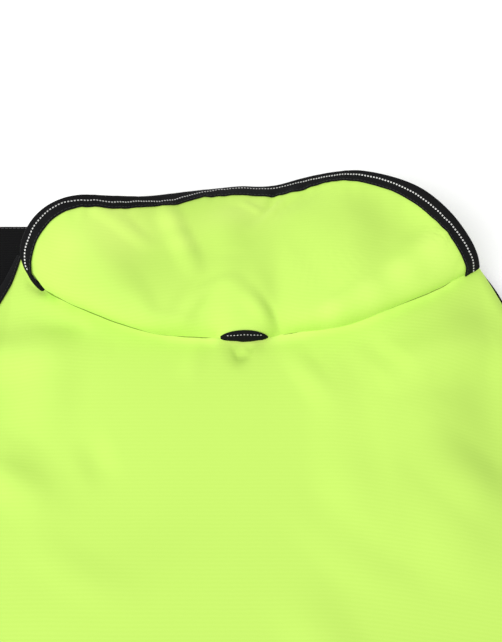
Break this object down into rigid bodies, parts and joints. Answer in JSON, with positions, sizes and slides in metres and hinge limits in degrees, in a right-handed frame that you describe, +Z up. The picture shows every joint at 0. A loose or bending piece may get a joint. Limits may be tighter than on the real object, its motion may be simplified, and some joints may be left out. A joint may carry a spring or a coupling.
{
  "type": "dog coat",
  "caption": "Large padded high-visibility dog coat laid flat, with a standing collar, a lead hole, black bound edges, a chest strap and a belly strap.",
  "frame": {"origin": "on the surface the coat lies on, under the middle of its bounding box", "axes": "+Z up off that surface, +Y towards the collar along the dog's back, +X to the right seen from the tail"},
  "size_m": [0.652, 0.7152, 0.0624],
  "materials": {
    "high_visibility_cloth": "soft matt yellow-green ribbed weave",
    "black_tape": "matt black ribbed tape with a dashed silver line",
    "black_webbing": "matt black woven strap"
  },
  "bodies": {
    "root": {"back_panel": "high_visibility_cloth", "collar": "high_visibility_cloth", "collar_binding": "black_tape", "collar_lip": "black_tape", "panel_lip": "black_tape", "hem_binding": "black_tape", "chest_strap": "black_webbing", "belly_strap": "black_webbing"}
  },
  "joints": []
}
